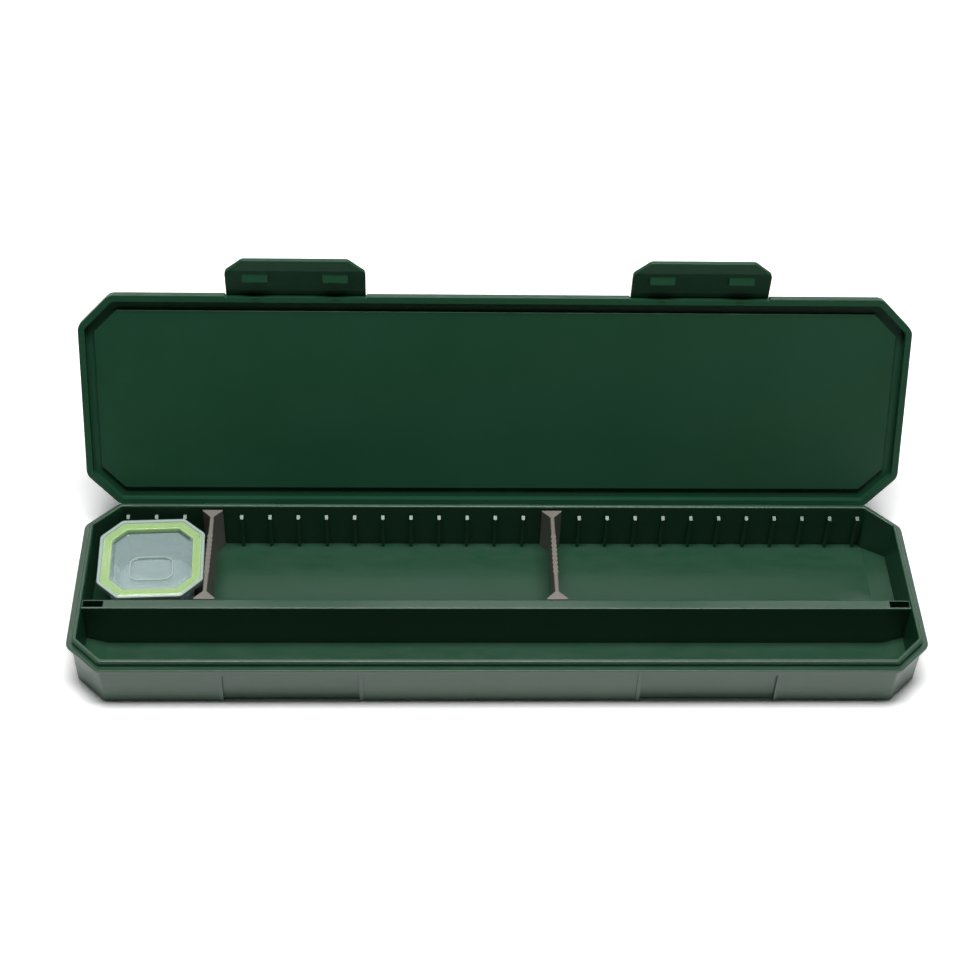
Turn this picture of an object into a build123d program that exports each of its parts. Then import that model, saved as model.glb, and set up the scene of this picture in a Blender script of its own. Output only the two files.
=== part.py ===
from build123d import *
import math
import os

# A long flat box for floats and small tackle, stood open on a table.
# Millimetres. +X runs along the box to the right, +Y to the hinge side, +Z up.
# The origin is the middle of the base's underside.
# The lid and its latches are drawn closed, then turned open about their hinges.

# Outline of the flange and of the lid, and the rounding of its corners
BOX_LENGTH = 380.0
BOX_DEPTH = 101.0
CORNER_CUT = 14.4
CORNER_RADIUS = 5.0
LEAST_CORNER_RADIUS = 1.2

# Base tray
FLANGE_TOP = 23.8
FLANGE_THICKNESS = 1.8
FLANGE_EDGE_ROUNDING = 0.4
WALL_INSET = 2.0
FOOT_INSET = 2.6
FOOT_BEVEL = 0.5
FLOOR_THICKNESS = 2.0
LIP_HEIGHT = 2.9
LIP_INSET = 2.6
LIP_THICKNESS = 2.1
LIP_ROUNDING = 0.7
CAVITY_DRAFT = 0.3

# Raised floor at each end of the base
RAMP_LENGTH = 9.4
RAMP_HEIGHT = 3.5

# Long partition, moulded hollow from below, with an open slot at each end
PARTITION_FRONT = -16.1
PARTITION_THICKNESS = 5.4
PARTITION_DROP = 1.2
PARTITION_PLATE = 1.8
PARTITION_WALL = 1.4
PARTITION_ROUNDING = 0.6
SLOT_LENGTH = 9.3
SLOT_WALL = 0.9

# Upright ribs that the dividers slip over, on the back wall and the partition
RIB_PITCH = 13.17
RIB_WIDTH = 1.5
RIB_REACH = 2.1
RIB_DROP = 4.3
RIB_TIP_DROP = 0.7
RIB_TIP_ROUNDING = 0.4

# Shallow bays in the front wall, one behind each latch, with a catch ledge
LATCH_CENTRE = 91.9
LATCH_WIDTH = 63.2
BAY_RECESS = 0.8
BAY_RIB_WIDTH = 1.7
BAY_RIB_PROUD = 0.5
CATCH_DEPTH = 2.1
CATCH_SETBACK = 0.5

# Lid
RIM_GAP = 0.4
LIP_TOP_GAP = 1.0
PANEL_GAP = 0.7
PANEL_SIDE_GAP = 2.2
PANEL_END_GAP = 1.3
PANEL_CORNER_CUT = 10.7
PANEL_ROUNDING = 0.5
LID_OVERHANG = 0.8
LATCH_RECESS_GAP = 0.5
LID_WALL = 1.8
LID_EDGE_ROUNDING = 1.0
RIM_ROUNDING = 0.3
OPEN_ANGLE = 112.5

# Lid hinge: barrels on a pin, in three groups along the back
HINGE_AXIS_OUT = 0.7
HINGE_AXIS_DROP = 3.4
HINGE_SPACING = 120.0
HINGE_COUNT = 3
BARREL_RADIUS = 2.0
PIN_RADIUS = 0.8
PIN_SEAT_CLEARANCE = 0.02
PIN_RUNNING_CLEARANCE = 0.06
PIN_END_SETBACK = 0.5
BASE_BARREL_LENGTH = 9.0
LID_BARREL_LENGTH = 14.0
BARREL_SIDE_GAP = 0.3
HINGE_CLEARANCE = 0.3
ARM_THICKNESS = 2.3
GUSSET_DROP = 5.0
HEEL_GAP = 0.1
HEEL_HEIGHT = 1.3
HEEL_OFFSET = 0.6

# Latch flaps
LATCH_LENGTH = 19.3
LATCH_THICKNESS = 1.9
LATCH_GAP = 0.3
LATCH_REST_ANGLE = 63.0
LATCH_CORNER_WIDTH = 8.0
LATCH_CORNER_HEIGHT = 5.9
LATCH_CORNER_ROUNDING = 3.0
LATCH_LIP_LENGTH = 5.0
LATCH_LIP_FLARE = 1.1
WEB_THICKNESS = 0.4
BEAD_CLEARANCE = 0.05
WEB_ROOT = 2.0
WEB_SETBACK = 0.2

# Hooks inside each latch
HOOK_SPACING = 36.0
HOOK_WIDTH = 11.4
HOOK_REACH = 1.9
HOOK_LAND = 0.8
HOOK_RAMP = 2.9
HOOK_CLEARANCE = 0.1
MARK_RADIUS = 1.9
MARK_DEPTH = 0.3

# Dividers; the right one stands this many ribs past the middle rib
RIGHT_DIVIDER_RIBS = 2
DIVIDER_THICKNESS = 1.8
DIVIDER_DROP = 0.1
FLARE_WIDTH = 9.3
FLARE_LENGTH = 4.6
FLARE_EDGE = 0.8
DIVIDER_END_GAP = 0.4
SLOT_CLEARANCE = 0.2
TOOTH_PITCH = 2.7
TOOTH_COUNT = 9
TOOTH_DEPTH = 0.4
DIVIDER_EDGE_ROUNDING = 0.3

# Small bit box, loose between the ribs at the left end
BIT_PLAY = 2.3
BIT_END_GAP = 3.9
BIT_SHIFT = 0.8
BIT_TURN = 2.5
BIT_CORNER_CUT = 9.5
BIT_CORNER_RADIUS = 2.5
BIT_HEADROOM = 1.5
BIT_WALL = 1.2
BIT_SKIRT_DEPTH = 4.0
BIT_SKIRT_CLEARANCE = 0.3
BIT_TUB_INSET = 3.6
BIT_TUB_DRAFT = 2.2
BIT_RIM_THICKNESS = 1.4
BIT_EDGE_ROUNDING = 0.6
BIT_FOOT_ROUNDING = 1.1
SEAL_WIDTH = 3.1
SEAL_HEIGHT = 2.6
WINDOW_INSET = 6.5
WINDOW_SINK = 3.0
TAB_WIDTH = 18.5
TAB_LENGTH = 13.2
TAB_FORWARD = 4.7
TAB_SINK = 0.4
TAB_CORNER_RADIUS = 2.0

# Every cut runs past the face it opens by this much
OVERRUN = 1.0

HALF_LENGTH = BOX_LENGTH / 2
HALF_DEPTH = BOX_DEPTH / 2
FLANGE_BOTTOM = FLANGE_TOP - FLANGE_THICKNESS
LIP_TOP = FLANGE_TOP + LIP_HEIGHT
CAVITY_INSET = LIP_INSET + LIP_THICKNESS
CAVITY_HALF_LENGTH = HALF_LENGTH - CAVITY_INSET
CAVITY_BACK = HALF_DEPTH - CAVITY_INSET - CAVITY_DRAFT
PARTITION_BACK = PARTITION_FRONT + PARTITION_THICKNESS
PARTITION_TOP = LIP_TOP - PARTITION_DROP
RIB_TOP = PARTITION_TOP - RIB_DROP
RAMP_TOP = FLOOR_THICKNESS + RAMP_HEIGHT
RIM_WIDTH = LIP_INSET - RIM_GAP
CHANNEL_FLOOR = LIP_TOP + LIP_TOP_GAP
PANEL_INSET = CAVITY_INSET + PANEL_SIDE_GAP
PANEL_FACE = PARTITION_TOP + PANEL_GAP
LID_TOP = CHANNEL_FLOOR + LID_WALL
HINGE_Y = HALF_DEPTH + HINGE_AXIS_OUT
HINGE_Z = FLANGE_TOP - HINGE_AXIS_DROP
BEAD_RADIUS = LATCH_THICKNESS / 2
LATCH_Y = -HALF_DEPTH - LATCH_GAP - BEAD_RADIUS
LATCH_Z = LID_TOP - WEB_THICKNESS - BEAD_CLEARANCE - BEAD_RADIUS
LATCH_SIDES = {"left": -1, "right": 1}
HINGE_PLACES = [(i - (HINGE_COUNT - 1) / 2) * HINGE_SPACING for i in range(HINGE_COUNT)]
HINGE_NAMES = ["left", "middle", "right"]
RIB_SPAN = CAVITY_HALF_LENGTH - CAVITY_DRAFT - CORNER_CUT + RIB_WIDTH / 2
RIB_STEPS = math.floor(RIB_SPAN / RIB_PITCH)
RIB_PLACES = [i * RIB_PITCH for i in range(-RIB_STEPS, RIB_STEPS + 1)]
FREE_FRONT = PARTITION_BACK + RIB_REACH
FREE_BACK = CAVITY_BACK - RIB_REACH
BIT_SIZE = FREE_BACK - FREE_FRONT - 2 * BIT_PLAY
BIT_HEIGHT = PARTITION_TOP - BIT_HEADROOM - FLOOR_THICKNESS
BIT_CENTRE_X = -CAVITY_HALF_LENGTH + BIT_END_GAP + BIT_SIZE / 2
BIT_CENTRE_Y = (FREE_FRONT + FREE_BACK) / 2 - BIT_SHIFT
SEAL_INSET = BIT_WALL + BIT_SKIRT_CLEARANCE


def octagon(half_x, half_y, cut, radius):
    """A flat octagon about the origin with its corners cut and rounded."""
    points = [
        (-half_x, -half_y + cut),
        (-half_x + cut, -half_y),
        (half_x - cut, -half_y),
        (half_x, -half_y + cut),
        (half_x, half_y - cut),
        (half_x - cut, half_y),
        (-half_x + cut, half_y),
        (-half_x, half_y - cut),
    ]
    face = make_face(Polyline(*points, close=True))
    return fillet(face.vertices(), radius)


def inset_octagon(half_x, half_y, cut, radius, least, inset):
    """The same octagon with every side drawn in by inset."""
    cut_here = cut - inset * (2 - math.sqrt(2))
    return octagon(half_x - inset, half_y - inset, cut_here, max(radius - inset, least))


def box_outline(inset):
    """The box's outline drawn in by inset."""
    return inset_octagon(
        HALF_LENGTH, HALF_DEPTH, CORNER_CUT, CORNER_RADIUS, LEAST_CORNER_RADIUS, inset
    )


def panel_outline(inset):
    """The outline of the lid's raised panel drawn in by inset."""
    half_x = CAVITY_HALF_LENGTH - PANEL_END_GAP
    half_y = HALF_DEPTH - PANEL_INSET
    least = LEAST_CORNER_RADIUS
    return inset_octagon(half_x, half_y, PANEL_CORNER_CUT, least, least, inset)


def bit_outline(inset):
    """The small bit box's outline drawn in by inset."""
    half = BIT_SIZE / 2
    least = BIT_CORNER_RADIUS / 2
    return inset_octagon(half, half, BIT_CORNER_CUT, BIT_CORNER_RADIUS, least, inset)


def prism(face, bottom, top):
    """A flat outline drawn up from bottom to top."""
    return extrude(Pos(0, 0, bottom) * face, top - bottom)


def block(x_range, y_range, z_range):
    """A box between two places on each axis."""
    middle = [(a + b) / 2 for a, b in (x_range, y_range, z_range)]
    size = [abs(b - a) for a, b in (x_range, y_range, z_range)]
    return Pos(*middle) * Box(*size)


def side_profile(points, centre_x, width):
    """A profile of (y, z) points drawn along X, about centre_x."""
    path = [(0, y, z) for y, z in points]
    face = make_face(Polyline(*path, close=True))
    solid = extrude(face, width / 2, dir=(1, 0, 0), both=True)
    return Pos(centre_x, 0, 0) * solid


def rod(radius, centre_x, length, y, z):
    """A round rod along X."""
    return Pos(centre_x, y, z) * Rot(0, 90, 0) * Cylinder(radius, length)


def edges_near_height(solid, height):
    """The edges that lie flat at one height."""
    tolerance = OVERRUN / 1000
    low = height - tolerance
    high = height + tolerance
    return solid.edges().filter_by_position(Axis.Z, low, high)


def turned(shape, y, z, degrees):
    """A shape turned about the line along X through (y, z)."""
    return Pos(0, y, z) * Rot(degrees, 0, 0) * Pos(0, -y, -z) * shape


def wall_body(proud):
    """The base's drafted outside up to the flange, grown by proud."""
    foot = FOOT_INSET - proud
    bottom = box_outline(foot + FOOT_BEVEL)
    bevel_top = Pos(0, 0, FOOT_BEVEL) * box_outline(foot)
    wall_top = Pos(0, 0, FLANGE_BOTTOM) * box_outline(WALL_INSET - proud)
    lower = loft([bottom, bevel_top], ruled=True)
    upper = loft([bevel_top, wall_top], ruled=True)
    return lower + upper


def flange_and_lip():
    """The ledge that the lid lands on and the lip that stands up inside it."""
    flange = prism(box_outline(0), FLANGE_BOTTOM, FLANGE_TOP)
    outer_edges = edges_near_height(flange, FLANGE_TOP) + edges_near_height(flange, FLANGE_BOTTOM)
    flange = fillet(outer_edges, FLANGE_EDGE_ROUNDING)
    lip = prism(box_outline(LIP_INSET), FLANGE_BOTTOM, LIP_TOP)
    return flange + lip


def cavity():
    """The hollow of the tray, slightly narrower at the floor."""
    floor = Pos(0, 0, FLOOR_THICKNESS) * box_outline(CAVITY_INSET + CAVITY_DRAFT)
    mouth = Pos(0, 0, LIP_TOP) * box_outline(CAVITY_INSET)
    above = prism(box_outline(CAVITY_INSET), LIP_TOP, LIP_TOP + OVERRUN)
    return loft([floor, mouth], ruled=True) + above


def end_ramp(side):
    """The floor's rise at one end of the tray."""
    start = side * (CAVITY_HALF_LENGTH - RAMP_LENGTH - CAVITY_DRAFT)
    finish = side * (CAVITY_HALF_LENGTH - CAVITY_DRAFT)
    behind = side * (CAVITY_HALF_LENGTH + LIP_THICKNESS / 2)
    buried = FLOOR_THICKNESS / 2
    points = [
        (start, buried),
        (start, FLOOR_THICKNESS),
        (finish, RAMP_TOP),
        (behind, RAMP_TOP),
        (behind, buried),
    ]
    face = make_face(Polyline(*[(x, 0, z) for x, z in points], close=True))
    return extrude(face, HALF_DEPTH, dir=(0, 1, 0), both=True)


def partition():
    """The long wall between the two compartments, with its rounded top."""
    reach = CAVITY_HALF_LENGTH + LIP_THICKNESS / 2
    wall = block((-reach, reach), (PARTITION_FRONT, PARTITION_BACK), (FLOOR_THICKNESS / 2, PARTITION_TOP))
    return fillet(edges_near_height(wall, PARTITION_TOP).filter_by(Axis.X), PARTITION_ROUNDING)


def partition_hollows():
    """The core from below, and the slot open to the top at each end."""
    inner_y = (PARTITION_FRONT + PARTITION_WALL, PARTITION_BACK - PARTITION_WALL)
    slot_y = (PARTITION_FRONT + SLOT_WALL, PARTITION_BACK - SLOT_WALL)
    slot_start = CAVITY_HALF_LENGTH - SLOT_LENGTH
    core_end = slot_start - PARTITION_WALL
    core_top = PARTITION_TOP - PARTITION_PLATE
    hollows = block((-core_end, core_end), inner_y, (-OVERRUN, core_top))
    for side in (-1, 1):
        slot_x = (side * slot_start, side * (CAVITY_HALF_LENGTH - CAVITY_DRAFT))
        hollows += block(slot_x, slot_y, (RAMP_TOP, LIP_TOP + OVERRUN))
    return hollows


def rib(centre_x, root_y, toward):
    """One upright rib, its top sloping down to a rounded tip; toward is -1 or 1 along Y."""
    half = RIB_WIDTH / 2
    tip = root_y + toward * RIB_REACH
    buried = root_y - toward * PARTITION_WALL / 2
    face = make_face(Polyline((-half, buried), (half, buried), (half, tip), (-half, tip), close=True))
    tips = [v for v in face.vertices() if abs(v.Y - tip) < RIB_REACH / 2]
    face = fillet(tips, RIB_TIP_ROUNDING)
    bottom = FLOOR_THICKNESS / 2
    side = [
        (buried, bottom),
        (buried, RIB_TOP),
        (root_y, RIB_TOP),
        (tip, RIB_TOP - RIB_TIP_DROP),
        (tip, bottom),
    ]
    upright = prism(face, bottom, RIB_TOP) & side_profile(side, 0, RIB_WIDTH)
    return Pos(centre_x, 0, 0) * upright


def latch_bays(outside):
    """The bays cut in the front wall, and the ledges and ribs added there."""
    recessed = wall_body(-BAY_RECESS)
    ribbed = wall_body(BAY_RIB_PROUD)
    skin = outside - recessed
    front = (-HALF_DEPTH - OVERRUN, -HALF_DEPTH / 2)
    height = (-OVERRUN, FLANGE_BOTTOM)
    ledge_y = (-HALF_DEPTH + CATCH_SETBACK, -HALF_DEPTH + WALL_INSET + LIP_THICKNESS / 2)
    ledge_z = (FLANGE_BOTTOM - CATCH_DEPTH, FLANGE_BOTTOM)
    cuts = []
    added = []
    for side in LATCH_SIDES.values():
        middle = side * LATCH_CENTRE
        edge = LATCH_WIDTH / 2
        inner = edge - BAY_RIB_WIDTH
        bay_x = (middle - inner, middle + inner)
        cuts.append(skin & block(bay_x, front, height))
        added.append(block(bay_x, ledge_y, ledge_z))
        for end in (-1, 1):
            rib_x = (middle + end * inner, middle + end * edge)
            added.append(ribbed & block(rib_x, front, (0, FLANGE_BOTTOM)))
    return cuts, added


def base_barrels(centre_x):
    """The base's two barrels of one hinge group, with their gussets."""
    wall = HALF_DEPTH - WALL_INSET - LIP_THICKNESS / 2
    gusset = [
        (wall, FLANGE_BOTTOM),
        (HINGE_Y, FLANGE_BOTTOM),
        (HINGE_Y, HINGE_Z - BARREL_RADIUS),
        (wall, HINGE_Z - BARREL_RADIUS - GUSSET_DROP),
    ]
    offset = (LID_BARREL_LENGTH + BASE_BARREL_LENGTH) / 2 + BARREL_SIDE_GAP
    barrels = []
    for end in (-1, 1):
        x = centre_x + end * offset
        barrel = rod(BARREL_RADIUS, x, BASE_BARREL_LENGTH, HINGE_Y, HINGE_Z)
        barrels.append(barrel + side_profile(gusset, x, BASE_BARREL_LENGTH))
    return barrels


def hinge_group_length():
    """The length of one hinge group over its outer barrels."""
    return LID_BARREL_LENGTH + 2 * (BASE_BARREL_LENGTH + BARREL_SIDE_GAP)


def make_base():
    """The whole base moulding."""
    outside = wall_body(0)
    bay_cuts, bay_additions = latch_bays(outside)
    base = outside - bay_cuts + bay_additions + flange_and_lip()
    base = base - cavity()
    lip_edges = edges_near_height(base, LIP_TOP)
    base = fillet(lip_edges, LIP_ROUNDING)
    inside_walls = wall_body(-LIP_THICKNESS / 2)
    for side in (-1, 1):
        base += end_ramp(side) & inside_walls
    base += partition()
    base -= partition_hollows()
    ribs = [rib(x, CAVITY_BACK, -1) for x in RIB_PLACES]
    ribs += [rib(x, PARTITION_BACK, 1) for x in RIB_PLACES]
    base += ribs
    for x in HINGE_PLACES:
        base += base_barrels(x)
        notch_length = LID_BARREL_LENGTH + 2 * BARREL_SIDE_GAP
        base -= rod(BARREL_RADIUS + HINGE_CLEARANCE, x, notch_length, HINGE_Y, HINGE_Z)
        bore = hinge_group_length() + 2 * OVERRUN
        base -= rod(PIN_RADIUS + PIN_SEAT_CLEARANCE, x, bore, HINGE_Y, HINGE_Z)
    return base


def lid_shell():
    """The lid's tray: rim, channel for the lip, raised panel, sunken top."""
    shell = prism(box_outline(-LID_OVERHANG), FLANGE_TOP, LID_TOP)
    shell = fillet(edges_near_height(shell, LID_TOP), LID_EDGE_ROUNDING)
    shell = fillet(edges_near_height(shell, FLANGE_TOP), RIM_ROUNDING)
    hollow = prism(box_outline(RIM_WIDTH), FLANGE_TOP - OVERRUN, CHANNEL_FLOOR)
    panel = prism(panel_outline(0), PANEL_FACE, LID_TOP)
    panel = fillet(edges_near_height(panel, PANEL_FACE), PANEL_ROUNDING)
    sunken = prism(panel_outline(LID_WALL), PANEL_FACE + LID_WALL, LID_TOP + OVERRUN)
    return shell - (hollow - panel) - sunken


def hook_places(side):
    """Where one latch's hooks lie along X."""
    return [side * LATCH_CENTRE + end * HOOK_SPACING / 2 for end in (-1, 1)]


def lid_arm(centre_x):
    """One lid barrel with the arm that carries it past the flange's edge."""
    inner = HALF_DEPTH + HINGE_CLEARANCE
    outer = inner + ARM_THICKNESS
    joined = HALF_DEPTH - RIM_WIDTH / 2
    above_flange = FLANGE_TOP + HINGE_CLEARANCE
    arm_top = CHANNEL_FLOOR + HINGE_CLEARANCE
    points = [
        (inner, HINGE_Z),
        (inner, above_flange),
        (joined, above_flange),
        (joined, arm_top),
        (inner, arm_top),
        (outer, arm_top - ARM_THICKNESS),
        (outer, HINGE_Z),
    ]
    arm = side_profile(points, centre_x, LID_BARREL_LENGTH)
    return arm + rod(BARREL_RADIUS, centre_x, LID_BARREL_LENGTH, HINGE_Y, HINGE_Z)


def lid_heel(centre_x):
    """The heel that meets the back wall when the lid stands open."""
    x_range = (centre_x - LID_BARREL_LENGTH / 2, centre_x + LID_BARREL_LENGTH / 2)
    wall = HALF_DEPTH - WALL_INSET + HEEL_GAP
    top = HINGE_Z - HEEL_OFFSET
    heel = block(x_range, (wall, HINGE_Y), (top - HEEL_HEIGHT, top))
    return turned(heel, HINGE_Y, HINGE_Z, OPEN_ANGLE)


def latch_recess(side):
    """The shallow recess in the lid's front edge that a latch folds into."""
    middle = side * LATCH_CENTRE
    half = LATCH_WIDTH / 2 + LATCH_RECESS_GAP
    y_range = (-HALF_DEPTH - LID_OVERHANG - OVERRUN, -HALF_DEPTH)
    return block((middle - half, middle + half), y_range, (FLANGE_TOP - OVERRUN, LID_TOP + OVERRUN))


def latch_web(side):
    """The thin strip at the lid's front edge that a latch bends about."""
    middle = side * LATCH_CENTRE
    x_range = (middle - LATCH_WIDTH / 2, middle + LATCH_WIDTH / 2)
    y_range = (LATCH_Y + WEB_SETBACK, -HALF_DEPTH + WEB_ROOT)
    return block(x_range, y_range, (LID_TOP - WEB_THICKNESS, LID_TOP))


def make_lid():
    """The whole lid moulding, in its closed place."""
    lid = lid_shell()
    for side in LATCH_SIDES.values():
        lid -= latch_recess(side)
        lid += latch_web(side)
        for x in hook_places(side):
            mark = Pos(x, -HALF_DEPTH + RIM_WIDTH, FLANGE_TOP) * Cylinder(MARK_RADIUS, 2 * MARK_DEPTH)
            lid -= mark
    for x in HINGE_PLACES:
        lid += lid_arm(x) + lid_heel(x)
        bore = LID_BARREL_LENGTH + 2 * OVERRUN
        lid -= rod(PIN_RADIUS + PIN_RUNNING_CLEARANCE, x, bore, HINGE_Y, HINGE_Z)
    return lid


def latch_flap(side):
    """One latch flap hanging closed, with its rounded root and outturned lip."""
    inner = LATCH_Y + BEAD_RADIUS
    outer = LATCH_Y - BEAD_RADIUS
    end = LATCH_Z - LATCH_LENGTH
    bend = end + LATCH_LIP_LENGTH
    points = [
        (inner, LATCH_Z),
        (inner, bend),
        (inner - LATCH_LIP_FLARE, end),
        (outer - LATCH_LIP_FLARE, end),
        (outer, bend),
        (outer, LATCH_Z),
    ]
    middle = side * LATCH_CENTRE
    slab = side_profile(points, middle, LATCH_WIDTH) + rod(BEAD_RADIUS, middle, LATCH_WIDTH, LATCH_Y, LATCH_Z)
    half = LATCH_WIDTH / 2
    root = LATCH_Z + BEAD_RADIUS + OVERRUN
    corners = [
        (-half, root),
        (-half, end + LATCH_CORNER_HEIGHT),
        (-half + LATCH_CORNER_WIDTH, end),
        (half - LATCH_CORNER_WIDTH, end),
        (half, end + LATCH_CORNER_HEIGHT),
        (half, root),
    ]
    face = make_face(Polyline(*[(x, 0, z) for x, z in corners], close=True))
    face = fillet([v for v in face.vertices() if v.Z < LATCH_Z], LATCH_CORNER_ROUNDING)
    outline = Pos(middle, 0, 0) * extrude(face, BOX_DEPTH, dir=(0, 1, 0), both=True)
    return slab & outline


def latch_hook(centre_x):
    """One hook that catches under the base's ledge."""
    inner = LATCH_Y + BEAD_RADIUS
    catch = FLANGE_BOTTOM - CATCH_DEPTH - HOOK_CLEARANCE
    points = [
        (LATCH_Y, catch),
        (inner + HOOK_REACH, catch),
        (inner + HOOK_REACH, catch - HOOK_LAND),
        (inner, catch - HOOK_LAND - HOOK_RAMP),
        (LATCH_Y, catch - HOOK_LAND - HOOK_RAMP),
    ]
    return side_profile(points, centre_x, HOOK_WIDTH)


def make_latch(side):
    """One latch, in its closed place."""
    latch = latch_flap(side)
    for x in hook_places(side):
        latch += latch_hook(x)
    return latch


def open_lid(shape):
    """A closed shape turned with the lid to where it stands open."""
    return turned(shape, HINGE_Y, HINGE_Z, -OPEN_ANGLE)


def divider_plan(front, back):
    """Half of a divider's plan, seen from above, on its +X side."""
    half = DIVIDER_THICKNESS / 2
    flare = FLARE_WIDTH / 2
    points = [(0, back), (flare, back), (flare, back - FLARE_EDGE), (half, back - FLARE_LENGTH)]
    middle = (front + back) / 2
    first = middle + TOOTH_PITCH * TOOTH_COUNT / 2
    for i in range(TOOTH_COUNT):
        y = first - i * TOOTH_PITCH
        points += [(half, y), (half + TOOTH_DEPTH, y - TOOTH_PITCH / 2)]
    points += [(half, first - TOOTH_COUNT * TOOTH_PITCH)]
    points += [(half, front + FLARE_LENGTH), (flare, front + FLARE_EDGE), (flare, front), (0, front)]
    return points


def divider_places():
    """Where the dividers stand: beside the bit box, and past the middle rib."""
    turn = math.radians(BIT_TURN)
    half = BIT_SIZE / 2
    reach = half * math.cos(turn) + (half - BIT_CORNER_CUT) * math.sin(turn)
    beside = BIT_CENTRE_X + reach + DIVIDER_THICKNESS / 2
    left = min(x for x in RIB_PLACES if x > beside)
    return {"left": left, "right": RIGHT_DIVIDER_RIBS * RIB_PITCH}


def make_divider(centre_x):
    """One lift-out divider standing over a pair of ribs."""
    front = PARTITION_BACK + DIVIDER_END_GAP
    back = CAVITY_BACK - DIVIDER_END_GAP
    right = divider_plan(front, back)
    left = [(-x, y) for x, y in reversed(right[1:-1])]
    face = make_face(Polyline(*(right + left), close=True))
    top = PARTITION_TOP - DIVIDER_DROP
    divider = prism(face, FLOOR_THICKNESS, top)
    ends = [e for e in edges_near_height(divider, top) if e.length > TOOTH_PITCH * 2]
    divider = chamfer(ends, DIVIDER_EDGE_ROUNDING)
    half = RIB_WIDTH / 2 + SLOT_CLEARANCE
    height = (FLOOR_THICKNESS - OVERRUN, RIB_TOP + SLOT_CLEARANCE)
    back_slot = (CAVITY_BACK - RIB_REACH - SLOT_CLEARANCE, CAVITY_BACK)
    front_slot = (PARTITION_BACK, PARTITION_BACK + RIB_REACH + SLOT_CLEARANCE)
    divider -= block((-half, half), back_slot, height)
    divider -= block((-half, half), front_slot, height)
    return Pos(centre_x, 0, 0) * divider


def place_bit_box(shape):
    """A piece of the bit box, drawn about the origin, put in its compartment."""
    return Pos(BIT_CENTRE_X, BIT_CENTRE_Y, FLOOR_THICKNESS) * Rot(0, 0, BIT_TURN) * shape


def bit_levels():
    """Heights of the bit box's rim and of the underside of its lid."""
    lid_under = BIT_HEIGHT - BIT_WALL
    rim = lid_under - SEAL_HEIGHT
    return rim, lid_under


def make_bit_tub():
    """The bit box's clear tub with its outward rim."""
    rim, _ = bit_levels()
    foot = BIT_TUB_INSET + BIT_TUB_DRAFT
    tub = loft([bit_outline(foot), Pos(0, 0, rim) * bit_outline(BIT_TUB_INSET)], ruled=True)
    tub = fillet(edges_near_height(tub, 0), BIT_FOOT_ROUNDING)
    tub += prism(bit_outline(SEAL_INSET), rim - BIT_RIM_THICKNESS, rim)
    floor = Pos(0, 0, BIT_WALL) * bit_outline(foot + BIT_WALL)
    mouth = Pos(0, 0, rim) * bit_outline(BIT_TUB_INSET + BIT_WALL)
    return tub - loft([floor, mouth], ruled=True)


def make_bit_lid():
    """The bit box's clear press-on lid with its skirt, window and finger tab."""
    _, lid_under = bit_levels()
    skirt_bottom = BIT_HEIGHT - BIT_SKIRT_DEPTH
    lid = prism(bit_outline(0), skirt_bottom, BIT_HEIGHT)
    lid = fillet(edges_near_height(lid, BIT_HEIGHT), BIT_EDGE_ROUNDING)
    lid -= prism(bit_outline(BIT_WALL), skirt_bottom - OVERRUN, lid_under)
    well_outer = bit_outline(WINDOW_INSET - BIT_WALL)
    lid += prism(well_outer, lid_under - WINDOW_SINK, BIT_HEIGHT)
    lid -= prism(bit_outline(WINDOW_INSET), BIT_HEIGHT - WINDOW_SINK, BIT_HEIGHT + OVERRUN)
    tab = RectangleRounded(TAB_WIDTH, TAB_LENGTH, TAB_CORNER_RADIUS)
    tab_floor = BIT_HEIGHT - WINDOW_SINK - TAB_SINK
    lid -= prism(Pos(0, -TAB_FORWARD) * tab, tab_floor, BIT_HEIGHT)
    return lid


def make_bit_seal():
    """The coloured sealing ring under the bit box's lid."""
    rim, lid_under = bit_levels()
    ring = prism(bit_outline(SEAL_INSET), rim, lid_under)
    return ring - prism(bit_outline(SEAL_INSET + SEAL_WIDTH), rim - OVERRUN, lid_under + OVERRUN)


def make_all():
    """Every piece by its node name, in the place where it stands at rest."""
    pieces = {"base_tray": make_base(), "lid": open_lid(make_lid())}
    for name, side in LATCH_SIDES.items():
        latch = turned(make_latch(side), LATCH_Y, LATCH_Z, -LATCH_REST_ANGLE)
        pieces[f"latch_{name}"] = open_lid(latch)
    pin_length = hinge_group_length() - 2 * PIN_END_SETBACK
    for name, x in zip(HINGE_NAMES, HINGE_PLACES):
        pieces[f"hinge_pin_{name}"] = rod(PIN_RADIUS, x, pin_length, HINGE_Y, HINGE_Z)
    for name, x in divider_places().items():
        pieces[f"divider_{name}"] = make_divider(x)
    pieces["bit_box_tub"] = place_bit_box(make_bit_tub())
    pieces["bit_box_lid"] = place_bit_box(make_bit_lid())
    pieces["bit_box_seal"] = place_bit_box(make_bit_seal())
    return pieces


def write_parts():
    """Write one STEP file for each piece."""
    os.makedirs("parts", exist_ok=True)
    for name, shape in make_all().items():
        export_step(shape, f"parts/{name}.step")


write_parts()
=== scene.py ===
"""Dresses the long float and accessory box and sets it on a white table.

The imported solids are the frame. The green mouldings and the grey dividers keep
their solid shapes and get clean, smooth-shaded shells; the small clear bit box
is modelled afresh, so that its walls are thin and its edges soft.
Sizes in the classes are millimetres unless they say metres; meshes are in metres.
"""

import logging
import math
from dataclasses import dataclass, replace
from enum import Enum

import bmesh
import bpy
from mathutils import Matrix, Vector


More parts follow.
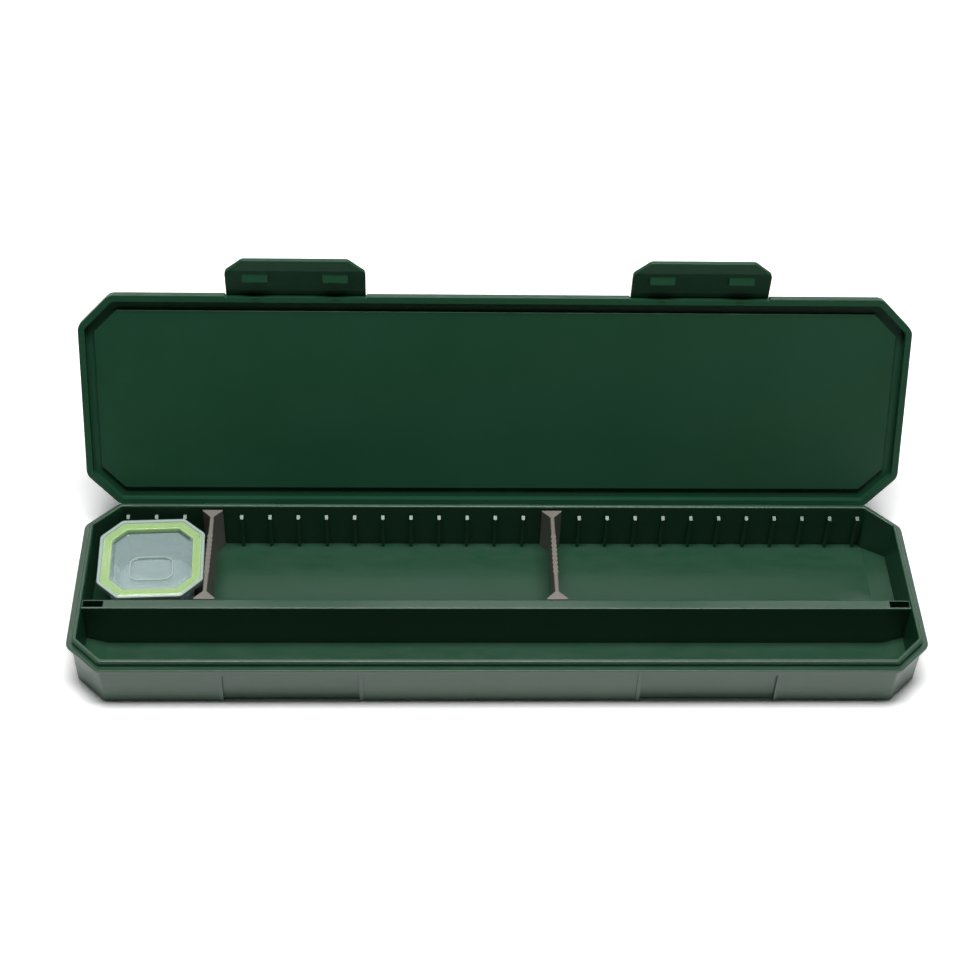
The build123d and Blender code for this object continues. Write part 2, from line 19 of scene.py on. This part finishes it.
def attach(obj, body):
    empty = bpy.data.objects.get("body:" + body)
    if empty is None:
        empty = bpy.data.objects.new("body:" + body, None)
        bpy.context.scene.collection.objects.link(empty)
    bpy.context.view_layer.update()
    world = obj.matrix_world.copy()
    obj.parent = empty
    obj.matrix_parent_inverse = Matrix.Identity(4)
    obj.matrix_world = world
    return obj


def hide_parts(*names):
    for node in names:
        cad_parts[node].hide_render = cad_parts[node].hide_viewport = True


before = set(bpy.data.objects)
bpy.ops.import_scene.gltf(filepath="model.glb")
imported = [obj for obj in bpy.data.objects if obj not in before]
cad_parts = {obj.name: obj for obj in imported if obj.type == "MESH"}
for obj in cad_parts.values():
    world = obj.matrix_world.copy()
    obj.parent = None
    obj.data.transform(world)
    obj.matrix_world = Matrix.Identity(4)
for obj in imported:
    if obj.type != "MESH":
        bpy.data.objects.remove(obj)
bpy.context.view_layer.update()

LOG = logging.getLogger("box")
MM = 0.001
Color = tuple[float, float, float]
Point = tuple[float, float, float]

# Points of a solid's mesh, and of a ring's two ends, closer than these are one
MERGE_DISTANCE = 0.002 * MM
SEAM_DISTANCE = 0.001 * MM
# Faces that meet at less than this are one flat
FLAT_ANGLE = math.radians(0.4)
# Edges sharper than this are shaded sharp
SMOOTH_ANGLE = math.radians(15.0)
# Facets across a rounded edge, and the least angle that is rounded, in degrees
ROUNDING_SEGMENTS = 3
ROUNDING_ANGLE = 30.0
# The part of a noise's range that holds nearly all of its values
NOISE_LOW, NOISE_HIGH = 0.3, 0.7
# Places of a Mix node's colour sockets, whose names other sockets share
MIX_FIRST, MIX_SECOND, MIX_RESULT = 6, 7, 2
# How much a 45-degree cut shortens when the sides are drawn in by one
CUT_SHRINK = 2 - math.sqrt(2)
# How far a rounding of radius one reaches along the sides of a 135-degree corner
CORNER_REACH = math.tan(math.pi / 8)


# ---------------------------------------------------------------- materials


class NodeTree:
    """A short hand for building one material's node tree."""

    def __init__(self, name: str) -> None:
        """Start an empty material.

        Args:
            name: The material's name.
        """
        self.material = bpy.data.materials.new(name)
        self.material.use_nodes = True
        self.tree = self.material.node_tree
        self.tree.nodes.clear()
        self.output = self.tree.nodes.new("ShaderNodeOutputMaterial")

    def add(self, kind: str, **values: object) -> bpy.types.Node:
        """Add a node and set its properties and unlinked inputs.

        Args:
            kind: The node's type name.
            values: Properties by name; inputs with underscores for spaces.

        Returns:
            The new node.
        """
        node = self.tree.nodes.new(kind)
        for key, value in values.items():
            if hasattr(node, key):
                setattr(node, key, value)
            else:
                node.inputs[key.replace("_", " ")].default_value = value
        return node

    def link(self, source: bpy.types.NodeSocket, target: bpy.types.NodeSocket) -> None:
        """Join two sockets."""
        self.tree.links.new(source, target)

    def noise(self, scale: float, detail: float, stretch: Point = (1, 1, 1)) -> bpy.types.NodeSocket:
        """Noise on the piece's own coordinates.

        Args:
            scale: Features per metre.
            detail: Octaves of finer noise.
            stretch: How much more the pattern repeats along each axis.

        Returns:
            The noise's factor socket.
        """
        place = self.add("ShaderNodeTexCoord")
        mapping = self.add("ShaderNodeMapping", Scale=stretch)
        noise = self.add("ShaderNodeTexNoise", Scale=scale, Detail=detail)
        self.link(place.outputs["Object"], mapping.inputs["Vector"])
        self.link(mapping.outputs["Vector"], noise.inputs["Vector"])
        return noise.outputs["Fac"]

    def spread(self, source: bpy.types.NodeSocket, low: float, high: float) -> bpy.types.NodeSocket:
        """Map the middle of a noise to a range of values.

        Args:
            source: The noise.
            low: The value at the noise's low side.
            high: The value at its high side.

        Returns:
            The mapped value's socket.
        """
        node = self.add(
            "ShaderNodeMapRange", From_Min=NOISE_LOW, From_Max=NOISE_HIGH, To_Min=low, To_Max=high
        )
        self.link(source, node.inputs["Value"])
        return node.outputs["Result"]

    def blend(self, source: bpy.types.NodeSocket, first: Color, second: Color) -> bpy.types.NodeSocket:
        """Blend two colours by a value.

        Args:
            source: The value, 0 to 1.
            first: The colour at 0.
            second: The colour at 1.

        Returns:
            The blended colour's socket.
        """
        node = self.add("ShaderNodeMix", data_type="RGBA")
        node.inputs[MIX_FIRST].default_value = (*first, 1)
        node.inputs[MIX_SECOND].default_value = (*second, 1)
        self.link(source, node.inputs["Factor"])
        return node.outputs[MIX_RESULT]

    def bump(self, heights: list[tuple[bpy.types.NodeSocket, float]]) -> bpy.types.NodeSocket:
        """Stack several height patterns into one bumped normal.

        Args:
            heights: Each pattern with its height in metres.

        Returns:
            The normal's socket.
        """
        normal = None
        for socket, height in heights:
            node = self.add("ShaderNodeBump", Strength=1.0, Distance=height)
            self.link(socket, node.inputs["Height"])
            if normal is not None:
                self.link(normal, node.inputs["Normal"])
            normal = node.outputs["Normal"]
        return normal


@dataclass(frozen=True)
class Plastic:
    """A moulded plastic or rubber.

    Attributes:
        name: The finish's name.
        color: Its main colour, linear.
        second: The colour it drifts to in soft patches.
        rough: Lowest and highest roughness.
        grain: Height of the fine surface grain, in metres.
        grain_scale: Grains per metre.
        wave: Height of the slow waviness of the flats, in metres.
        wave_scale: Waves per metre.
        alpha: How much of the surface is solid rather than clear.
        specular: Strength of the plain gloss.
        subsurface: How much of the light spreads inside before it leaves.
        depth: How far it spreads, in metres.
        patch_ratio: Colour patches to each wave.
        patch_detail: Octaves in the patches.
        rub_scale: Rubbed marks per metre, which vary the roughness.
        rub_detail: Octaves in the rubbed marks.
        rub_stretch: How much more they repeat along each axis.
        fine_detail: Octaves in the waves and in the grain.
    """

    name: str
    color: Color
    second: Color
    rough: tuple[float, float] = (0.34, 0.44)
    grain: float = 0.00002
    grain_scale: float = 1500.0
    wave: float = 0.00010
    wave_scale: float = 14.0
    alpha: float = 1.0
    specular: float = 0.5
    subsurface: float = 0.0
    depth: float = 0.002
    patch_ratio: float = 1.7
    patch_detail: float = 3.0
    rub_scale: float = 90.0
    rub_detail: float = 4.0
    rub_stretch: Point = (1.0, 2.5, 2.5)
    fine_detail: float = 2.0

    def build(self) -> bpy.types.Material:
        """Build the node material.

        Returns:
            The material.
        """
        nodes = NodeTree(self.name)
        shader = nodes.add("ShaderNodeBsdfPrincipled")
        shader.inputs["Specular IOR Level"].default_value = self.specular
        shader.inputs["Alpha"].default_value = self.alpha
        shader.inputs["Subsurface Weight"].default_value = self.subsurface
        shader.inputs["Subsurface Scale"].default_value = self.depth
        shader.inputs["Subsurface Radius"].default_value = (1, 1, 1)
        patches = nodes.noise(self.wave_scale * self.patch_ratio, self.patch_detail)
        tint = nodes.blend(nodes.spread(patches, 0, 1), self.color, self.second)
        nodes.link(tint, shader.inputs["Base Color"])
        rub = nodes.noise(self.rub_scale, self.rub_detail, self.rub_stretch)
        nodes.link(nodes.spread(rub, *self.rough), shader.inputs["Roughness"])
        wave = nodes.noise(self.wave_scale, self.fine_detail)
        grain = nodes.noise(self.grain_scale, self.fine_detail)
        nodes.link(nodes.bump([(wave, self.wave), (grain, self.grain)]), shader.inputs["Normal"])
        nodes.link(shader.outputs["BSDF"], nodes.output.inputs["Surface"])
        return nodes.material


@dataclass(frozen=True)
class DrawnWire:
    """Plain drawn steel wire, finely scored along its length.

    Attributes:
        name: The finish's name.
        color: Its colour, linear.
        rough: Lowest and highest roughness.
        score_scale: Scores per metre.
        score_detail: Octaves in the scores.
        score_stretch: How much more they repeat along each axis.
        score_depth: Their depth, in metres.
    """

    name: str = "drawn_steel_wire"
    color: Color = (0.52, 0.52, 0.53)
    rough: tuple[float, float] = (0.25, 0.42)
    score_scale: float = 900.0
    score_detail: float = 4.0
    score_stretch: Point = (0.08, 3.0, 3.0)
    score_depth: float = 0.000004

    def build(self) -> bpy.types.Material:
        """Build the node material.

        Returns:
            The material.
        """
        nodes = NodeTree(self.name)
        shader = nodes.add("ShaderNodeBsdfPrincipled", Metallic=1.0)
        shader.inputs["Base Color"].default_value = (*self.color, 1)
        scores = nodes.noise(self.score_scale, self.score_detail, self.score_stretch)
        nodes.link(nodes.spread(scores, *self.rough), shader.inputs["Roughness"])
        nodes.link(nodes.bump([(scores, self.score_depth)]), shader.inputs["Normal"])
        nodes.link(shader.outputs["BSDF"], nodes.output.inputs["Surface"])
        return nodes.material


class Finish(Enum):
    """The finishes of the box, each built once."""

    GREEN = Plastic(
        "green_moulding", (0.010, 0.055, 0.025), (0.012, 0.060, 0.029),
        rough=(0.30, 0.38), specular=0.7,
    )
    # Painted light: the base's green made lighter and less glossy, so that the lid and latches take
    # their brightness under these lamps
    MATT_GREEN = Plastic(
        "lid_green_painted_light", (0.011, 0.060, 0.0275), (0.013, 0.065, 0.0315),
        rough=(0.34, 0.44), specular=0.28,
    )
    GREY = Plastic(
        "grey_moulding", (0.20, 0.180, 0.160), (0.165, 0.148, 0.130),
        rough=(0.42, 0.55), grain=0.00003, wave=0.00003,
    )
    CLEAR = Plastic(
        "clear_cover", (0.55, 0.72, 0.71), (0.58, 0.75, 0.74),
        rough=(0.08, 0.16), grain=0.000004, wave=0.00006, wave_scale=60.0, alpha=0.22, specular=1.0,
    )
    MILKY = Plastic(
        "milky_tub", (0.33, 0.41, 0.43), (0.37, 0.45, 0.46),
        rough=(0.22, 0.34), grain=0.000006, wave=0.00004, wave_scale=60.0, alpha=0.9,
        subsurface=1.0, depth=0.006,
    )
    # Painted highlight: a pale, nearly solid plastic for thin beads that stand in for light caught
    # along the clear cover's edges
    FROSTED = Plastic(
        "pale_bead_painted_highlight", (0.46, 0.56, 0.51), (0.50, 0.60, 0.55),
        rough=(0.30, 0.42), grain=0.000006, wave=0.00002, wave_scale=60.0, alpha=0.8, specular=0.8,
    )
    LIME = Plastic(
        "lime_seal", (0.55, 0.97, 0.05), (0.58, 0.98, 0.07),
        rough=(0.45, 0.55), grain=0.00001, wave=0.00002, wave_scale=80.0,
        subsurface=1.0, depth=0.004,
    )
    WIRE = DrawnWire()

    def material(self) -> bpy.types.Material:
        """Return this finish's material, building it the first time."""
        found = bpy.data.materials.get(self.value.name)
        return found or self.value.build()


# ------------------------------------------------------------------- meshes


def make_piece(name: str, bm: bmesh.types.BMesh, finish: Finish) -> bpy.types.Object:
    """Turn a bmesh into a linked object with a finish and smooth shading.

    Args:
        name: The object's name.
        bm: The finished bmesh, in metres; it is freed here.
        finish: What the piece is made of.

    Returns:
        The object.
    """
    mesh = bpy.data.meshes.new(name)
    bm.to_mesh(mesh)
    bm.free()
    piece = bpy.data.objects.new(name, mesh)
    bpy.context.scene.collection.objects.link(piece)
    mesh.materials.append(finish.material())
    mesh.polygons.foreach_set("use_smooth", [True] * len(mesh.polygons))
    mesh.set_sharp_from_angle(angle=SMOOTH_ANGLE)
    return piece


def place_piece(piece: bpy.types.Object, body: str, nodes: list[str]) -> None:
    """Tell the frame what a piece rides on and stands for.

    Args:
        piece: The finished piece.
        body: The body that it rides on.
        nodes: The solids that it stands for.
    """
    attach(piece, body)
    if nodes:
        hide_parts(*nodes)
    LOG.info("%s rides on %s: %d faces", piece.name, body, len(piece.data.polygons))


def round_edges(piece: bpy.types.Object, width: float, angle: float = ROUNDING_ANGLE) -> None:
    """Round a piece's edges, and weight its normals so that flats shade flat.

    Args:
        piece: The piece.
        width: The rounding's width, in millimetres.
        angle: The least angle between faces that is rounded, in degrees.
    """
    bevel = piece.modifiers.new("rounded_edges", "BEVEL")
    bevel.width = width * MM
    bevel.segments = ROUNDING_SEGMENTS
    bevel.limit_method = "ANGLE"
    bevel.angle_limit = math.radians(angle)
    bevel.use_clamp_overlap = True
    weigh = piece.modifiers.new("even_flats", "WEIGHTED_NORMAL")
    weigh.keep_sharp = True


# ------------------------------------------------------------- sub-assemblies


@dataclass(frozen=True)
class Shell:
    """A moulding that keeps its solid's shape.

    Attributes:
        node: The solid's node name.
        body: The body that it rides on.
        finish: What it is made of.
        slot: The record's material slot; not used.
        rounding: Width of its edges' extra rounding, in millimetres.
    """

    node: str
    body: str
    finish: Finish
    slot: str
    rounding: float

    def build(self) -> bpy.types.Object:
        """Stand a merged, smooth-shaded copy of the solid in for it.

        Returns:
            The piece.
        """
        bm = bmesh.new()
        bm.from_mesh(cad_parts[self.node].data)
        bmesh.ops.remove_doubles(bm, verts=bm.verts, dist=MERGE_DISTANCE)
        bmesh.ops.dissolve_limit(bm, angle_limit=FLAT_ANGLE, verts=bm.verts, edges=bm.edges)
        piece = make_piece(f"{self.node}_shell", bm, self.finish)
        round_edges(piece, self.rounding)
        place_piece(piece, self.body, [self.node])
        return piece


@dataclass
class Mouldings:
    """The green mouldings and grey dividers."""

    shells: tuple[Shell, ...] = (
        Shell("base_tray", "base", Finish.GREEN, "green_plastic", 0.25),
        # The lid and latches wear the lighter, duller copy of the green, which paints their light
        Shell("lid", "lid", Finish.MATT_GREEN, "green_plastic", 0.25),
        Shell("latch_left", "left_latch", Finish.MATT_GREEN, "green_plastic", 0.3),
        Shell("latch_right", "right_latch", Finish.MATT_GREEN, "green_plastic", 0.3),
        Shell("divider_left", "left_divider", Finish.GREY, "grey_plastic", 0.2),
        Shell("divider_right", "right_divider", Finish.GREY, "grey_plastic", 0.2),
    )

    def build(self) -> list[bpy.types.Object]:
        """Build every shell, and return the pieces."""
        return [shell.build() for shell in self.shells]


@dataclass
class HingePins:
    """The wire pins of the lid's hinge, shown as their solids."""

    nodes: tuple[str, ...] = ("hinge_pin_left", "hinge_pin_middle", "hinge_pin_right")

    def dress(self) -> None:
        """Give each pin its wire finish."""
        for node in self.nodes:
            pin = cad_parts[node]
            pin.data.materials.clear()
            pin.data.materials.append(Finish.WIRE.material())
            LOG.info("%s keeps its solid, in %s", node, Finish.WIRE.value.name)


@dataclass(frozen=True)
class Level:
    """One outline of a stacked wall.

    Attributes:
        inset: How far its sides are drawn in from the bit box's outline.
        height: Its height above the tray's floor.
        size: Its width and length, where it is fitted to them instead.
        forward: How far it is moved towards the front.
    """

    inset: float
    height: float
    size: tuple[float, float] | None = None
    forward: float = 0.0


@dataclass
class BitBox:
    """The small clear box with its coloured seal, and thin pale beads that paint highlights along its
    edges.

    Heights are from the tray's floor, on which it stands. Insets are drawn in
    from the cover's outer sides.

    Attributes:
        centre: Its middle, seen from above.
        floor: Height of the tray's floor in the frame.
        turn: How far it is turned, in degrees.
        half: Half its width, and half its length.
        cut: How much a cut corner takes off each side.
        corner: Radius at the ends of the cuts.
        least_corner: Least radius there, on the inner outlines.
        corner_segments: Facets across that radius.
        height: Height of the cover's top.
        wall: Thickness of the cover and of the tub.
        skirt: Height of the cover's outer sides.
        window_inset: Inset of the cover's sunk window.
        window_sink: Its depth.
        window_draft: How far its sides lean in.
        tab_size: Width and length of the finger tab's hollow.
        tab_forward: How far it lies in front of the middle.
        tab_cut: How much its cut corners take off before it is fitted.
        tab_corner: Radius at the ends of those cuts.
        tab_sink: Its depth below the window.
        tab_slope: How far its sides lean in.
        brow_drop: Height of the slope round the cover's top edge.
        brow_width: Width of that slope.
        seal_inset: Inset of the ring and of the tub's rim.
        seal_width: Width of the ring.
        seal_height: Height of the ring.
        tub_inset: Inset of the tub's walls at the rim.
        tub_draft: How far they lean in down to the floor.
        rim_thickness: Thickness of the tub's rim.
        bead_width: Width of the bead round the finger tab.
        bead_rise: How far that bead stands up.
        cover_rounding: Width of the cover's edge rounding.
        cover_angle: The least angle that it rounds, in degrees.
        tub_rounding: Width of the tub's edge rounding.
        seal_rounding: Width of the ring's edge rounding.
    """

    centre: tuple[float, float] = (-157.7, 16.6)
    floor: float = 2.0
    turn: float = 2.5
    half: float = 23.7
    cut: float = 9.5
    corner: float = 2.5
    least_corner: float = 1.25
    corner_segments: int = 4
    height: float = 22.0
    wall: float = 1.2
    skirt: float = 4.0
    window_inset: float = 6.5
    window_sink: float = 3.0
    window_draft: float = 0.3
    tab_size: tuple[float, float] = (18.5, 13.2)
    tab_forward: float = 4.7
    tab_cut: float = 5.5
    tab_corner: float = 6.0
    tab_sink: float = 0.8
    tab_slope: float = 0.7
    brow_drop: float = 0.5
    brow_width: float = 1.2
    seal_inset: float = 1.4
    seal_width: float = 3.8
    seal_height: float = 2.6
    tub_inset: float = 3.6
    tub_draft: float = 2.2
    rim_thickness: float = 1.4
    bead_width: float = 0.6
    bead_rise: float = 0.3
    cover_rounding: float = 0.25
    cover_angle: float = 16.0
    tub_rounding: float = 0.4
    seal_rounding: float = 0.5

    @property
    def seal_bottom(self) -> float:
        """The height of the tub's rim, on which the seal lies."""
        return self.height - self.wall - self.seal_height

    def outline(self, bm: bmesh.types.BMesh, level: Level) -> bmesh.types.BMFace:
        """Lay one flat octagon with cut and rounded corners.

        Args:
            bm: The mesh to add it to.
            level: Where it lies and how wide it is.

        Returns:
            The face.
        """
        half = (self.half - level.inset) * MM
        cut = (self.cut - level.inset * CUT_SHRINK) * MM
        radius = max(self.corner - level.inset, self.least_corner) * MM
        if level.size:
            cut, radius = self.tab_cut * MM, self.tab_corner * MM
        before = set(bm.faces)
        verts = bmesh.ops.create_grid(bm, x_segments=1, y_segments=1, size=half)["verts"]
        # First the cuts, then a rounding at both ends of each
        for offset, segments in ((cut, 1), (radius * CORNER_REACH, self.corner_segments)):
            bmesh.ops.bevel(
                bm, geom=verts, offset=offset, offset_type="OFFSET", segments=segments,
                profile=0.5, affect="VERTICES", material=-1,
            )
            face = next(f for f in bm.faces if f not in before)
            verts = list(face.verts)
        if level.size:
            fit = (level.size[0] * MM / (2 * half), level.size[1] * MM / (2 * half), 1)
            bmesh.ops.scale(bm, verts=verts, vec=fit)
        bmesh.ops.translate(bm, verts=verts, vec=(0, -level.forward * MM, level.height * MM))
        return face

    def points_of(self, level: Level) -> list[Vector]:
        """Find an outline's points, in the same order for every level.

        Args:
            level: Where it lies and how wide it is.

        Returns:
            The points.
        """
        guide = bmesh.new()
        points = [v.co.copy() for v in self.outline(guide, level).verts]
        guide.free()
        return points

    def stack(self, levels: list[Level], ring: bool = False) -> bmesh.types.BMesh:
        """Extrude an outline from level to level into a closed body.

        Args:
            levels: The outlines in order, from one end of the wall to the other.
            ring: Whether the last outline joins the first; else both are capped.

        Returns:
            The body, turned and standing in its place.
        """
        bm = bmesh.new()
        first = face = self.outline(bm, levels[0])
        points = self.points_of(levels[0])
        for level in levels[1:] + levels[:1] if ring else levels[1:]:
            grown = bmesh.ops.extrude_face_region(bm, geom=[face])["geom"]
            # Only the first and the last outline stay, as caps
            if face.is_valid and face is not first:
                bmesh.ops.delete(bm, geom=[face], context="FACES_ONLY")
            face = next(g for g in grown if isinstance(g, bmesh.types.BMFace))
            targets = self.points_of(level)
            for vert in face.verts:
                nearest = min(range(len(points)), key=lambda i: (points[i] - vert.co).length)
                vert.co = targets[nearest]
            points = targets
        if ring:
            bmesh.ops.delete(bm, geom=[first, face], context="FACES_ONLY")
            bmesh.ops.remove_doubles(bm, verts=bm.verts, dist=SEAM_DISTANCE)
        bmesh.ops.recalc_face_normals(bm, faces=bm.faces)
        turn = Matrix.Rotation(math.radians(self.turn), 3, "Z")
        bmesh.ops.rotate(bm, verts=bm.verts, cent=(0, 0, 0), matrix=turn)
        place = Vector((self.centre[0], self.centre[1], self.floor)) * MM
        bmesh.ops.translate(bm, verts=bm.verts, vec=place)
        return bm

    def build_cover(self) -> bpy.types.Object:
        """Build the clear cover: skirt, top, sunk window and finger tab.

        Returns:
            The piece.
        """
        bottom = self.height - self.skirt
        under = self.height - self.wall
        well = self.window_inset - self.wall
        window = self.height - self.window_sink
        tab_foot = tuple(side - 2 * self.tab_slope for side in self.tab_size)
        levels = [
            Level(well + self.window_draft, under - self.window_sink),
            Level(well, under),
            Level(self.wall, under),
            Level(self.wall, bottom),
            Level(0.0, bottom),
            Level(0.0, self.height - self.brow_drop),
            Level(self.brow_width, self.height),
            Level(self.window_inset, self.height),
            Level(self.window_inset + self.window_draft, window),
            Level(self.window_inset, window, self.tab_size, self.tab_forward),
            Level(self.window_inset, window - self.tab_sink, tab_foot, self.tab_forward),
        ]
        piece = make_piece("bit_box_clear_lid", self.stack(levels), Finish.CLEAR)
        round_edges(piece, self.cover_rounding, angle=self.cover_angle)
        place_piece(piece, "bit_box_cover", ["bit_box_lid"])
        return piece

    def build_tub(self) -> bpy.types.Object:
        """Build the tub: drafted walls and an outward rim.

        Returns:
            The piece.
        """
        rim = self.seal_bottom
        levels = [
            Level(self.tub_inset + self.tub_draft, 0.0),
            Level(self.tub_inset, rim - self.rim_thickness),
            Level(self.seal_inset, rim - self.rim_thickness),
            Level(self.seal_inset, rim),
            Level(self.tub_inset + self.wall, rim),
            Level(self.tub_inset + self.tub_draft + self.wall, self.wall),
        ]
        piece = make_piece("bit_box_milky_tub", self.stack(levels), Finish.MILKY)
        round_edges(piece, self.tub_rounding)
        place_piece(piece, "bit_box", ["bit_box_tub"])
        return piece

    def build_seal(self) -> bpy.types.Object:
        """Build the soft ring between the tub's rim and the cover.

        Returns:
            The piece.
        """
        top = self.seal_bottom + self.seal_height
        inner = self.seal_inset + self.seal_width
        levels = [
            Level(self.seal_inset, self.seal_bottom),
            Level(self.seal_inset, top),
            Level(inner, top),
            Level(inner, self.seal_bottom),
        ]
        piece = make_piece("bit_box_lime_ring", self.stack(levels, ring=True), Finish.LIME)
        round_edges(piece, self.seal_rounding)
        place_piece(piece, "bit_box_cover", ["bit_box_seal"])
        return piece

    def build_highlight_bead(self, name: str, inner: Level, outer: Level, depth: float) -> bpy.types.Object:
        """Build one thin pale bead on the cover, a painted highlight along an edge.

        Args:
            name: The piece's name.
            inner: The top of its inner side.
            outer: The top of its outer side.
            depth: How far it reaches down.

        Returns:
            The piece.
        """
        levels = [
            replace(inner, height=inner.height - depth),
            inner,
            outer,
            replace(outer, height=outer.height - depth),
        ]
        # The pale finish paints a highlight along this edge
        piece = make_piece(name, self.stack(levels, ring=True), Finish.FROSTED)
        round_edges(piece, self.bead_rise / 2)
        place_piece(piece, "bit_box_cover", [])
        return piece

    def build_highlight_beads(self) -> list[bpy.types.Object]:
        """Build the pale beads round the finger tab and the cover's outer edge, which paint their edge
        highlights.

        Returns:
            The pieces.
        """
        tab_top = self.height - self.window_sink + self.bead_rise
        rim_top = self.height - self.brow_drop - self.bead_rise
        wide = tuple(side + 2 * self.bead_width for side in self.tab_size)
        return [
            self.build_highlight_bead(
                "bit_box_tab_highlight_bead",
                Level(self.window_inset, tab_top, self.tab_size, self.tab_forward),
                Level(self.window_inset, tab_top, wide, self.tab_forward),
                2 * self.bead_rise,
            ),
            self.build_highlight_bead(
                "bit_box_rim_highlight_bead",
                Level(2 * self.bead_width, rim_top),
                Level(-self.bead_rise / 2, rim_top),
                2 * self.bead_width,
            ),
        ]

    def build(self) -> list[bpy.types.Object]:
        """Build the whole bit box, and return its pieces."""
        return [self.build_tub(), self.build_seal(), self.build_cover(), *self.build_highlight_beads()]


# -------------------------------------------------------------------- studio


@dataclass(frozen=True)
class Lamp:
    """A soft box.

    Attributes:
        name: The lamp's name.
        place: Where it hangs.
        size: Its width and height.
        power: Its power, in watts.
        aim: The point that it faces.
    """

    name: str
    place: Point
    size: tuple[float, float]
    power: float
    aim: Point = (0, 0, 0)

    def build(self) -> None:
        """Hang the lamp and turn it to its aim."""
        data = bpy.data.lights.new(self.name, "AREA")
        data.shape = "RECTANGLE"
        data.size = self.size[0] * MM
        data.size_y = self.size[1] * MM
        data.energy = self.power
        lamp = bpy.data.objects.new(self.name, data)
        start = Vector(self.place) * MM
        facing = (Vector(self.aim) * MM - start).normalized()
        turn = facing.to_track_quat("-Z", "Y").to_matrix().to_4x4()
        lamp.matrix_world = Matrix.Translation(start) @ turn
        bpy.context.scene.collection.objects.link(lamp)


@dataclass
class Studio:
    """A white table, soft light from above, and the camera.

    The camera's place and turn are those that put the box's corners where the
    photograph shows them.

    Attributes:
        camera_place: Where the camera stands.
        elevation: How far it looks down, in degrees.
        yaw: How far it stands round to the side, in degrees.
        roll: How far it is tilted about its own axis, in degrees.
        lens: Its focal length.
        sensor: Its sensor's width.
        clip_start: The nearest that it sees, in metres.
        lamps: The soft boxes.
        world_strength: Strength of the room as a light.
        table: Width and length of the table.
        table_front: Where the table's front edge lies.
        table_color: Its white as a source of light.
        table_seen: Its white to the camera.
        table_mirrored: Its white in reflections and through clear plastic.
    """

    camera_place: Point = (-39.9, -599.7, 692.8)
    elevation: float = 45.22
    yaw: float = -3.06
    roll: float = 2.35
    lens: float = 73.69
    sensor: float = 36.0
    clip_start: float = 0.01
    lamps: tuple[Lamp, ...] = (
        Lamp("overhead_box", (0, 0, 1500), (1000, 400), 27.0),
        Lamp("back_box", (0, 1523, 1446), (2200, 300), 10.5),
        Lamp("right_box", (900, -2000, 150), (600, 500), 1.0, aim=(150, 60, 60)),
    )
    world_strength: float = 0.04
    table: float = 1800.0
    table_front: float = -200.0
    table_color: float = 0.93
    table_seen: float = 1.25
    table_mirrored: float = 1.25

    def build_camera(self) -> None:
        """Stand the camera where the photograph was taken from."""
        el, yaw, roll = (math.radians(a) for a in (self.elevation, self.yaw, self.roll))
        back = Vector((math.sin(yaw) * math.cos(el), -math.cos(yaw) * math.cos(el), math.sin(el)))
        right = Vector((math.cos(yaw), math.sin(yaw), 0))
        up = back.cross(right)
        side = math.cos(roll) * right + math.sin(roll) * up
        head = -math.sin(roll) * right + math.cos(roll) * up
        data = bpy.data.cameras.new("camera")
        data.lens = self.lens
        data.sensor_width = self.sensor
        data.sensor_fit = "HORIZONTAL"
        data.clip_start = self.clip_start
        camera = bpy.data.objects.new("camera", data)
        turn = Matrix((side, head, back)).transposed().to_4x4()
        camera.matrix_world = Matrix.Translation(Vector(self.camera_place) * MM) @ turn
        bpy.context.scene.collection.objects.link(camera)
        bpy.context.scene.camera = camera

    def build_table(self) -> None:
        """Lay the white table top."""
        bm = bmesh.new()
        half = self.table * MM / 2
        corners = bmesh.ops.create_grid(bm, x_segments=1, y_segments=1, size=half)["verts"]
        bmesh.ops.translate(bm, verts=corners, vec=(0, half + self.table_front * MM, 0))
        mesh = bpy.data.meshes.new("table_top")
        bm.to_mesh(mesh)
        bm.free()
        table = bpy.data.objects.new("table_top", mesh)
        bpy.context.scene.collection.objects.link(table)
        nodes = NodeTree("white_table")
        path = nodes.add("ShaderNodeLightPath")
        diffuse = nodes.add("ShaderNodeBsdfDiffuse")
        target = diffuse.inputs["Color"]
        # Each node adds, for its kind of ray, what that ray sees beyond the plain white
        for ray, white in (
            ("Is Camera Ray", self.table_seen),
            ("Is Glossy Ray", self.table_mirrored),
            ("Is Transmission Ray", self.table_mirrored),
        ):
            extra = nodes.add("ShaderNodeMath", operation="MULTIPLY_ADD")
            nodes.link(path.outputs[ray], extra.inputs[0])
            extra.inputs[1].default_value = white - self.table_color
            extra.inputs[2].default_value = self.table_color
            nodes.link(extra.outputs["Value"], target)
            target = extra.inputs[2]
        nodes.link(diffuse.outputs[0], nodes.output.inputs["Surface"])
        mesh.materials.append(nodes.material)

    def build_world(self) -> None:
        """Make the room white to look at, and dim as a light."""
        world = bpy.data.worlds.new("white_room")
        world.use_nodes = True
        tree = world.node_tree
        tree.nodes.clear()
        output = tree.nodes.new("ShaderNodeOutputWorld")
        background = tree.nodes.new("ShaderNodeBackground")
        background.inputs["Color"].default_value = (1, 1, 1, 1)
        path = tree.nodes.new("ShaderNodeLightPath")
        strength = tree.nodes.new("ShaderNodeMapRange")
        strength.inputs["To Min"].default_value = self.world_strength
        strength.inputs["To Max"].default_value = 1.0
        tree.links.new(path.outputs["Is Camera Ray"], strength.inputs["Value"])
        tree.links.new(strength.outputs["Result"], background.inputs["Strength"])
        tree.links.new(background.outputs[0], output.inputs["Surface"])
        bpy.context.scene.world = world

    def build(self) -> None:
        """Set up the table, the room, the lamps and the camera."""
        self.build_table()
        self.build_world()
        for lamp in self.lamps:
            lamp.build()
        self.build_camera()
        bpy.context.scene.view_settings.view_transform = "Standard"
        LOG.info("studio is set")


def main() -> None:
    """Build the box in order, then the studio."""
    logging.basicConfig(level=logging.INFO, format="%(message)s")
    Mouldings().build()
    HingePins().dress()
    BitBox().build()
    Studio().build()


if __name__ == "__main__":
    main()
